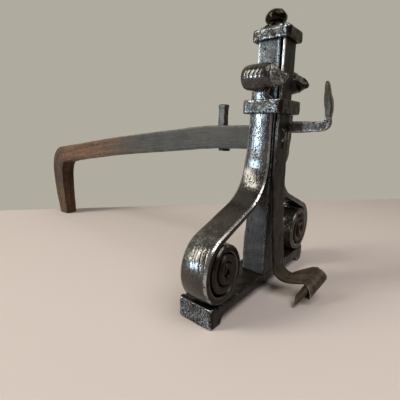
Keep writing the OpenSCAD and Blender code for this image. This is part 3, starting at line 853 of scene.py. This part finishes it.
def head_cuts(side):
    """Chisel cuts across the rolled head."""
    cuts = []
    for y, rise in ((-0.2, 2.0), (-4.0, 4.0), (-9.3, 4.4), (-15.0, 3.4)):
        cut = []
        for s in (0.0, 0.25, 0.5, 0.75, 1.0):
            a = math.radians(mix(-22, 46, s))
            cut.append((side * (head_x + head_r * math.cos(a)), y - rise * s, head_z + head_r * math.sin(a)))
        cuts.append(cut)
    return cuts


def volute_cuts(side):
    """Chisel cuts along the volute's shoulder, on the slant."""
    cuts = []
    for y, slant, low, high in ((-1.5, 4.5, 72, 36), (-5.5, 5.0, 80, 32), (-11.0, 5.0, 78, 30),
                                (-16.8, 4.5, 70, 34)):
        cut = []
        for k in range(6):
            t = mix(high, low, k / 5)
            x, z = volute_point(t, outer_radius(t))
            cut.append((side * x, y - slant * k / 5, z))
        cuts.append(cut)
    return cuts


print("cuts on each strap:", len(head_cuts(1)) + len(volute_cuts(1)))

# %% Side strap mesh
def side_strap(name, side, material, node, seed):
    places = strap_places(head + column + coil, side)
    bm = bmesh.new()
    draw_out(bm, strap_section(bm), places)
    coil_start = len(head + column) + next(i for i, p in enumerate(coil) if p[3] < front_y - 0.02)
    steps = zip(places, places[1:coil_start])
    wear_strap(bm, sum((b.translation - a.translation).length / MM for a, b in steps))
    round_head(bm, side)
    hammer(bm, 0.15, 13.0, 0.03, 2.4, streak=0.03, seed=seed)
    for cut in head_cuts(side):
        chisel(bm, cut, 0.7, 0.55)
    for cut in volute_cuts(side):
        chisel(bm, cut, 0.45, 0.5)
    finish_piece(bm, name, material, "burnished_iron", node)


side_strap("left_scroll_forged", -1, rubbed, "left_scroll", 3)
side_strap("right_scroll_forged", 1, rubbed, "right_scroll", 4)

# %% [markdown]
# ## The snails of the head
# In front of each rolled head the metal is drawn out to a blunt cone, like a snail's shell. It is
# a circle drawn out along the roll, and each vertex is then pulled in along a spiral ledge, so
# that the turns of the roll show. The ledge follows one formula, which keeps the turns even.

# %% Snail cones
def snail(name, side, length, rub, node, seed):
    """A cone of this length; rub is how worn it is between its ledges."""
    steps, turns, first_turn = 60, 2.1, 0.62

    def centre(q):
        return at(side * (head_x - 0.6 * q), front_y - 1 - (length - 1) * q, head_z - 0.4 - 3.0 * q)

    bm = bmesh.new()
    ring = round_section(bm, 1.0, 88)
    places = []
    for i in range(steps + 1):
        q = i / steps
        blunt = math.sqrt(max(1 - (max(q - 0.94, 0.0) / 0.06) ** 2, 0.04))
        r = mix(13.6, 2.8, q**1.08) * blunt
        places.append(place(centre(q), (1, 0, 0), (0, 0, 1), r, r))
    draw_out(bm, ring, places)
    wear, _, _ = section_layers(bm)
    for v in bm.verts:
        q = (front_y - 1 - (v.co.y - middle_y) / MM) / (length - 1)
        core = centre(q)
        x, z = (v.co.x - core.x) * side, v.co.z - core.z
        into = (turns * q + math.atan2(z, x) / (2 * math.pi) + first_turn) % 1.0
        ledge = 1 - mix(0.19, 0.10, q) * into + 0.08 * math.sin(into * math.pi)
        v[wear] = rub + 0.3 * math.exp(-((into / 0.12) ** 2))
        v.co.x = core.x + x * ledge * side
        v.co.z = core.z + z * ledge
    hammer(bm, 2.0, 7.5, 0.25, 2.6, seed=seed)
    finish_piece(bm, name, waxed, "burnished_iron", node)


snail("left_snail_forged", -1, 20.0, 0.6, "left_scroll", 13)
snail("right_snail_forged", 1, 20.5, 0.25, "right_scroll", 14)

# %% [markdown]
# ## The front strap and its leaf foot
# The front strap is flat and hangs a finger's breadth off the post at the bottom, where it bends
# forward. Its end is hammered out into a leaf and rolled up on the slant, like a paper cone: a big
# end away from us and a tip drawn out to the hearth. Every place on it is a straight line from
# the near edge to the far edge, so a place's width axis leans more and more with the roll. A
# Simple Deform bend would be easier to set up, but it can't roll on the slant.

# %% Leaf foot lines
bend_y, bend_z, bend_r = front_y - 29.0, 40.0, 15.75
lean_top, lean_end = 225.0, 8.0
roll_a, roll_b = Vector((21.5, front_y - 63.5, 34.6)), Vector((-25.0, front_y - 47.0, 3.9))
roll_l = (roll_b - roll_a).length
roll_dir = (roll_b - roll_a).normalized()
roll_up = (Vector((0, 0, 1)) - roll_dir * roll_dir.z).normalized()
roll_rear = roll_dir.cross(roll_up)
roll_start, roll_end, roll_sag, mouth = -35.0, 545.0, 2.4, 28.5
leaf_t, leaf_pitch, leaf_roll_r = 2.4, 2.6, 10.4
near_swell = [(60, 0.0), (120, 1.44), (165, 2.4), (213, 2.4), (229, 0.0)]


def roll_point(angle, far):
    """A point on the rolled leaf: far is 0 on the near edge and 1 on the far edge."""
    k = (angle - roll_start) / 360
    near_t = mouth + 9.5 * ease(k / 0.42) + (roll_l - mouth - 9.5) * ease((k - 0.55) / 0.8)
    t = mix(near_t, 5 * k, far)
    thick = leaf_t * (1 - 0.22 * k)
    envelope = (leaf_roll_r - 0.025 * t - leaf_pitch * k) * (1 - 0.58 * ease((t - 36) / (roll_l - 36)) ** 1.7)
    r = max(envelope - thick / 2, 2.0)
    a = math.radians(angle)
    sag = (roll_up + roll_rear) * 0.707 * roll_sag * 4 * t / roll_l * (1 - t / roll_l)
    return roll_a + roll_dir * t - sag + (roll_up * math.cos(a) - roll_rear * math.sin(a)) * r


def leaf_edge(s, side):
    """The leaf between the bend and the roll: s runs forward, side is -1 near and 1 far."""
    lift = math.radians(2)
    p = Vector((side * post_x, bend_y - bend_r * math.sin(lift), bend_z - bend_r * math.cos(lift)))
    far = (side + 1) / 2
    q = roll_point(roll_start, far)
    reach = (q - p).length
    start = Vector((-0.2, -1, 0.035)) if side < 0 else Vector((0.5, -1, 0.78))
    end = (roll_point(roll_start + 1, far) - q).normalized()
    return hermite(p, start.normalized() * reach, q, end * reach * (1.0 if side < 0 else 1.25), s)


print("the leaf's roll is", round(roll_l, 1), "mm long")

# %% Front strap lines
def straight(y, z, thick=strap_t):
    """A level line across the strap at this height."""
    return Vector((-post_x - follow(near_swell, z), y, z)), Vector((post_x, y, z)), thick


def strap_lines():
    """(near edge, far edge, thickness) for each place of the front strap, in millimetres."""
    lean, slope = math.radians(lean_end), math.tan(math.radians(lean_end))
    drop_steps, bend_steps, leaf_steps, bend_t = 90, 22, 26, 4.0
    lines = [straight(strap_mid, z) for z in range(int(post_top), 225, -2)]
    top_y, top_z = bend_y + bend_r * math.cos(lean), bend_z + bend_r * math.sin(lean)
    drop = lean_top - top_z
    for i in range(drop_steps):
        s = i / drop_steps
        lines.append(straight(hermite(strap_mid, 0.0, top_y, -drop * slope, s), lean_top - drop * s))
    for i in range(bend_steps):
        s = i / bend_steps
        a = math.radians(mix(lean_end, -90, s))
        lines.append(straight(bend_y + bend_r * math.cos(a), bend_z + bend_r * math.sin(a),
                              mix(strap_t, bend_t, s)))
    leaf_from = len(lines)
    for i in range(leaf_steps):
        s = i / leaf_steps
        lines.append((leaf_edge(s, -1), leaf_edge(s, 1), mix(bend_t, leaf_t, ease(s * 1.6))))
    leaf_to = len(lines)
    for angle in range(int(roll_start), int(roll_end), 5):
        k = (angle - roll_start) / 360
        lines.append((roll_point(angle, 0), roll_point(angle, 1), leaf_t * (1 - 0.22 * k)))
    return lines, leaf_from, leaf_to


print("the front strap has", len(strap_lines()[0]), "places")

# %% Front strap mesh
def front_strap():
    lines, leaf_from, leaf_to = strap_lines()
    places, runs = [], [0.0]
    for i, (near, far, thick) in enumerate(lines):
        before, after = lines[max(i - 1, 0)], lines[min(i + 1, len(lines) - 1)]
        travel = (after[0] + after[1] - before[0] - before[1]).normalized()
        width = far - near
        out = width.cross(travel).normalized()
        places.append(place(at(*((near + far) / 2)), out, width.normalized(), thick / strap_t,
                            width.length / post_w))
    for before, after in zip(places, places[1:]):
        runs.append(runs[-1] + (after.translation - before.translation).length / MM)
    bm = forge((post_w, strap_t, 1.1, 44, 3, 0.3), places)
    shape_leaf(bm, runs[leaf_from], runs[leaf_to])
    return bm


def shape_leaf(bm, leaf_start, roll_begin):
    """Ridges along the leaf, a hollow in its middle and a torn far edge."""
    wear, along, across = section_layers(bm)
    bm.normal_update()
    for v in bm.verts:
        s = (v[along] - leaf_start) / (roll_begin - leaf_start)
        u = v[across] / (post_w / 2)
        v[wear] *= 0.5 if s < 1.0 and u < 0.5 else 1.0
        if s > 0.3:
            ridge = noise.noise(Vector((v[across], v[along] / 45, 7.0)))
            v.co += v.normal * MM * 0.42 * ridge * ease((s - 0.3) * 2)
        if 0 < s < 1.6:
            v.co.z -= 2.6 * MM * (1 - u * u) * math.sin(s / 1.6 * math.pi) ** 2
        if s > 0.5 and u > 0.55:
            torn = noise.noise(Vector((v[along] / 3.2, 0.3, 4.0)))
            torn += 0.6 * noise.noise(Vector((v[along] / 1.3, 2.0, 1.0)))
            v.co -= roll_dir * MM * 1.3 * torn * (u - 0.55) / 0.45 * ease((s - 0.5) * 2)


strap_cut = [(-19.0, strap_mid - 3.4, 137.4), (-12.0, strap_mid - 3.4, 135.2), (-3.0, strap_mid - 3.6, 133.0)]
bm = front_strap()
rub_sides(bm, lambda z: mix(0.35, 0.8, ease((z - 250) / 30)) * ease((z - 165) / 50))
hammer(bm, 0.3, 10.0, 0.05, 2.4, streak=0.07, seed=5)
chisel(bm, strap_cut, 0.35, 0.6)
finish_piece(bm, "front_strap_forged", browned, "forged_iron", "front_strap")

# %% [markdown]
# ## The collars
# A collar is a short bar wrapped hot round the bundle. Its section is drawn out round a rectangle
# and closed on itself. At a corner the section fans out from the inner corner, and `corner_reach`
# says how far it has to go there, so that the outside turns with a small radius. A bent plate
# would thin out there; a forged collar doesn't.

# %% Collars
collar_radius, inner_gap = 4.4, 0.3


def corner_reach(wall, degrees):
    """Distance from the inner corner to the outside, at an angle from the face's own direction."""
    a = math.radians(min(degrees, 90 - degrees))
    flat = wall - collar_radius
    if wall * math.tan(a) <= flat:
        return wall / math.cos(a)
    b = flat * (math.cos(a) + math.sin(a))
    return b + math.sqrt(b * b - 2 * flat * flat + collar_radius**2)


def collar_places(half_x, y0, y1, wall, middle_z):
    places = []
    corners = ((half_x, y1, 0), (-half_x, y1, 90), (-half_x, y0, 180), (half_x, y0, 270))
    for (x, y, a0), (nx, ny, _) in zip(corners, corners[1:] + corners[:1]):
        for k in range(13):
            degrees = 7.5 * k
            a = math.radians(a0 + degrees)
            out = Vector((math.cos(a), math.sin(a), 0))
            reach = corner_reach(wall, degrees)
            middle = at(x, y, middle_z) + out * (inner_gap + reach) / 2 * MM
            places.append(place(middle, out, (0, 0, 1), (reach - inner_gap) / wall))
        shift = out * (inner_gap + wall) / 2 * MM
        here, there = at(x, y, middle_z) + shift, at(nx, ny, middle_z) + shift
        steps = int((there - here).length / MM / 1.2)
        for k in range(1, steps):
            places.append(place(here.lerp(there, k / steps), out, (0, 0, 1), (wall - inner_gap) / wall))
    return places


def collar_piece(name, node, half_x, back, wall, z, height, seed):
    """A collar round the bundle, from the front strap to a back face, z being its lower edge."""
    around = collar_places(half_x + 0.1, strap_mid - strap_t / 2 - 0.1, back + 0.1, wall, z + height / 2)
    bm = forge((height, wall, 1.7, 12, 3, 0.35), around, closed=True)
    scale_wear(bm, lambda v: 0.35)
    rub_sides(bm, lambda z: 0.44)
    hammer(bm, 0.45, 8.0, 0.10, 2.2, seed=seed)
    finish_piece(bm, name, pitted, "burnished_iron", node)


collar_piece("collar_forged", "collar", post_x + side_t, side_back, 6.5, 229, 16, 6)
collar_piece("top_collar_forged", "top_collar", post_x, post_back, 5.5, 309, 12, 7)

# %% [markdown]
# ## The spit hook
# A square bar turned up at its end and hammered thin and round at the tip. Its root is a long scarf
# that laps down the edge of the far strap. Both are drawn out in one mesh, as one forging. The
# points of its line were chosen where the bar's size changes, and a smooth line joins them.

# %% Spit hook
def bar_places(line, ref_thick, ref_width):
    """Places for a bar that bends in Y and Z. A line entry is (y, z, thickness, width, x)."""
    places = []
    for i, (y, z, thick, width, x) in enumerate(line):
        before, after = line[max(i - 1, 0)], line[min(i + 1, len(line) - 1)]
        dy, dz = after[0] - before[0], after[1] - before[1]
        length = math.hypot(dy, dz)
        places.append(place(at(x, y, z), (0, -dz / length, dy / length), (1, 0, 0),
                            thick / ref_thick, width / ref_width))
    return places


hook_w, hook_t, scarf_t = 9.5, 12.0, 7.0
hook_x = post_x + 0.3 + hook_w / 2
hook_line = smooth([(y, z, 2.15 * half, hook_w + 0.6 - thin, hook_x) for y, z, half, thin in (
    (-26, 214.65, 6.55, 0), (-45, 214.85, 6.35, 0), (-57, 215.45, 5.75, 0), (-66, 215.55, 5.65, 0),
    (-71.5, 217.0, 5.0, 0), (-74, 220, 4.0, 0), (-74.6, 224.5, 2.9, 0), (-74.5, 229, 3.2, 0),
    (-74.4, 234, 3.55, 0), (-73.5, 239.5, 4.05, 0.2), (-72.6, 245, 3.85, 0.6), (-71.4, 251, 3.2, 1.2),
    (-70.6, 256, 2.6, 2.0), (-69.8, 261, 2.1, 2.8), (-69.3, 264.4, 1.5, 4.2), (-69.2, 265.8, 0.5, 7.0))], 6)
scarf_line = smooth([((front_y + out) / 2, z, front_y - out, hook_w - thin, hook_x) for z, out, thin in (
    (228.5, -31.0, 0), (214, -31.0, 0), (203, -30.9, 0), (192, -30.2, 0), (180, -29.6, 0.2),
    (173, -28.2, 0.8), (168.5, -26.0, 2.0), (167.3, -24.8, 4.0))], 6)
bm = forge((hook_w, hook_t, 1.6, 10, 10), bar_places(hook_line, hook_t, hook_w))
forge((hook_w, scarf_t, 1.4, 10, 6), bar_places(scarf_line, scarf_t, hook_w), bm=bm)
rub_sides(bm, lambda z: 0.2)
wear, _, _ = section_layers(bm)
for v in bm.verts:
    v[wear] = min(1.0, v[wear] + 0.08) * mix(1.0, 0.1, ease((v.co.z / MM - 224) / 8))
hammer(bm, 0.35, 7.0, 0.10, 2.2, seed=8)
finish_piece(bm, "spit_hook_forged", hooked, "burnished_iron", "spit_hook")

# %% [markdown]
# ## The billet bar and rear leg
# The logs lie on one long bar that is bent down into the rear leg. It is drawn out along its
# middle line, with the section's height and width set at a few places, so that the bar and the
# leg stay one forging. Its front end is a tenon that goes through the post and the front strap
# and is peened over, with a wedge under it.

# %% Billet bar
leg_back = 560.0
bar_w, bar_t, tenon_w, tenon_t = 28.0, 30.0, 11.0, 15.0
bar_line = smooth([
    (post_back, 201.5, 29, 28, 0), (80, 199, 31.9, 28.2, 0), (160, 190.7, 32.6, 28.6, 0),
    (300, 175.6, 32.8, 30, 0), (430, 158.2, 33.6, 31.5, 0), (leg_back - 66, 148.9, 36.0, 32, 0),
    (leg_back - 44, 143.5, 40.0, 32, 0), (leg_back - 30, 130, 43.5, 32, 0),
    (leg_back - 23, 112, 42.5, 31.6, 0), (leg_back - 21, 92, 41.8, 30.5, 0),
    (leg_back - 22.4, 50, 39.5, 28, 0), (leg_back - 28, 8, 34.5, 25.4, 0), (leg_back - 29, 0, 33, 25, 0)], 18)
tenon_line = smooth([(y, 204.8, tenon_t * grow, tenon_w * grow, 0) for y, grow in (
    (post_back + 1, 1.0), (-20, 1.0), (-30.6, 1.0), (-31.2, 1.0), (-31.9, 0.9), (-32.4, 0.62),
    (-32.6, 0.25))], 4)
bm = forge((bar_w, bar_t, 2.4, 16, 16), bar_places(bar_line, bar_t, bar_w), all_round=True)
for v in bm.verts:
    v.co.z = max(v.co.z, 0.3 * MM)
hammer(bm, 0.45, 14.0, 0.07, 3.0, streak=0.05, seed=9)
finish_piece(bm, "billet_bar_forged", smoked, "rusty_iron", "billet_bar")

# %% Billet tenon
bm = forge((tenon_w, tenon_t, 1.6, 8, 10), bar_places(tenon_line, tenon_t, tenon_w))
hammer(bm, 0.4, 4.0, 0.2, 1.8, seed=12)
finish_piece(bm, "billet_tenon_forged", waxed, "rusty_iron", "billet_bar")

# %% [markdown]
# ## The log stop
# A small upright that keeps the logs off the post. It goes through the billet bar and leans back
# a little. It is drawn out upwards, with a head that was upset by the hammer.

# %% Log stop
stop_y, stop_w, stop_t, stop_lean = 59.5, 10.0, 11.0, 0.021
stop_line = smooth([(stop_y - stop_lean * (z - 216), z, t, w) for z, t, w in (
    (214.6, 11, 10), (220, 10.9, 10), (228, 10.4, 9.8), (236, 10.2, 9.8), (240, 11.2, 10.4),
    (242.4, 11.3, 10.6), (243.4, 9.6, 9.0), (243.7, 7.6, 7.4))], 6)
bm = forge((stop_w, stop_t, 1.2, 7, 7),
           [place(at(0, y, z), (0, 1, 0), (1, 0, 0), t / stop_t, w / stop_w) for y, z, t, w in stop_line])
scale_wear(bm, lambda v: 0.4)
hammer(bm, 0.3, 5.0, 0.14, 2.0, seed=10)
finish_piece(bm, "log_stop_forged", hooked, "rusty_iron", "log_stop")

# %% [markdown]
# ## The knob on top
# A square-edged foot, a neck and a ball that the hammer has faceted. The real one is turned from
# round bar, so a line of vertices is spun round the post's axis. A sphere would lack the neck.

# %% Finial knob
knob_r, knob_h, foot_h, neck_angle = 12.5, 21.0, 4.5, 50
profile = smooth([(0.2, 0.0), (12.6, 0.0), (13.4, 0.8), (13.4, 2.2), (12.4, 3.1), (9.2, 4.4)], 4)
neck = math.sin(math.radians(neck_angle))
for k in range(25):
    a = math.radians(mix(-44, 89, k / 24))
    profile.append((knob_r * math.cos(a), foot_h + (knob_h - foot_h) * (math.sin(a) + neck) / (1 + neck)))
bm = bmesh.new()
section_layers(bm)
verts = [bm.verts.new(at(r, post_mid, post_top + z)) for r, z in profile]
edges = [bm.edges.new(pair) for pair in zip(verts, verts[1:])]
bmesh.ops.spin(bm, geom=verts + edges, cent=at(0, post_mid, 0), axis=(0, 0, 1), angle=2 * math.pi,
               steps=64, use_merge=True)
bmesh.ops.remove_doubles(bm, verts=bm.verts, dist=0.00002)
bmesh.ops.holes_fill(bm, edges=bm.edges, sides=0)
bmesh.ops.recalc_face_normals(bm, faces=bm.faces)
hammer(bm, 0.5, 6.0, 0.16, 2.2, seed=11)
finish_piece(bm, "finial_knob_forged", rubbed, "burnished_iron", "finial_knob")

# %% [markdown]
# ## The floor, the wall and the light
# Plain pale paper under the andiron and a plain pale wall behind it. The wall is one-sided: its
# back is clear, so that it hides nothing when the andiron is seen from behind. It shows its own
# colour to the camera and to reflections. The light is a narrow cool window low on the left, a
# warm soft lamp above it and a wide dim one overhead, in a dim room. Dark iron shows its shape by
# what it mirrors, so the lamps' sizes and places matter more than their strength.

# %% Floor
stage_rough = 0.9


def matt_paint(name, colour):
    material = bpy.data.materials.new(name)
    material.use_nodes = True
    feed(material.node_tree, material.node_tree.nodes["Principled BSDF"].inputs,
         {"Base Color": (*colour, 1), "Roughness": stage_rough})
    return material


def stage_plane(name, matrix, size, material):
    bm = bmesh.new()
    bmesh.ops.create_grid(bm, x_segments=1, y_segments=1, size=size)
    bmesh.ops.transform(bm, matrix=matrix, verts=bm.verts)
    mesh = bpy.data.meshes.new(name)
    bm.to_mesh(mesh)
    bm.free()
    mesh.materials.append(material)
    plane = bpy.data.objects.new(name, mesh)
    bpy.context.scene.collection.objects.link(plane)
    print(name, "spans", 2 * size, "m")


stage_plane("floor", Matrix.Identity(4), 4.0, matt_paint("floor_paper", (0.57, 0.50, 0.475)))

# %% Wall
wall_paint = matt_paint("wall_paint", (0.46, 0.43, 0.37))
tree = wall_paint.node_tree
seen, clear, rays, either, one_sided, facing = (tree.nodes.new("ShaderNode" + kind) for kind in (
    "Emission", "BsdfTransparent", "LightPath", "MixShader", "MixShader", "NewGeometry"))
feed(tree, seen.inputs, {"Color": (0.43, 0.41, 0.345, 1)})
shown = math_node(tree, "ADD", rays.outputs["Is Camera Ray"], rays.outputs["Is Glossy Ray"], True)
shown = math_node(tree, "ADD", shown, rays.outputs["Is Transmission Ray"], True)
feed(tree, either.inputs, {0: shown, 1: tree.nodes["Principled BSDF"].outputs[0], 2: seen.outputs[0]})
feed(tree, one_sided.inputs, {0: facing.outputs["Backfacing"], 1: either.outputs[0], 2: clear.outputs[0]})
feed(tree, tree.nodes["Material Output"].inputs, {"Surface": one_sided.outputs[0]})
wall_spot, wall_run = at(115, 475, 0), (893, -736)
wall_turn = (Matrix.Translation(wall_spot) @ Matrix.Rotation(math.atan2(wall_run[1], wall_run[0]), 4, "Z")
             @ Matrix.Rotation(math.radians(90), 4, "X"))
stage_plane("wall", wall_turn, 3.0, wall_paint)

# %% Light
world = bpy.data.worlds.new("dim_room")
world.use_nodes = True
feed(world.node_tree, world.node_tree.nodes["Background"].inputs,
     {"Color": (0.10, 0.091, 0.077, 1), "Strength": 1.0})
bpy.context.scene.world = world
column_middle = at(-20, 0, 150)


def soft_box(name, azimuth, elevation, distance, width, height, radiance, colour):
    """A lamp of this width and height in metres, seen from the column in this direction."""
    a, e = math.radians(azimuth), math.radians(elevation)
    out = Vector((math.cos(a) * math.cos(e), math.sin(a) * math.cos(e), math.sin(e)))
    light = bpy.data.lights.new(name, "AREA")
    light.shape = "RECTANGLE"
    light.size, light.size_y = width, height
    light.energy = radiance * math.pi * width * height
    light.color = colour
    lamp = bpy.data.objects.new(name, light)
    lamp.location = column_middle + out * distance
    lamp.rotation_euler = (-out).to_track_quat("-Z", "Y").to_euler()
    bpy.context.scene.collection.objects.link(lamp)
    print(name, round(light.energy, 1), "W")


soft_box("window", 150, 1, 3.0, 0.38, 0.9, 46.0, (0.66, 0.87, 1.0))
soft_box("warm_lamp", 140, 31, 3.0, 0.66, 2.2, 15.5, (1.0, 0.95, 0.83))
soft_box("overhead", 250, 60, 1.15, 0.92, 0.92, 3.9, (1.0, 0.98, 0.95))
bpy.context.scene.view_settings.view_transform = "Standard"
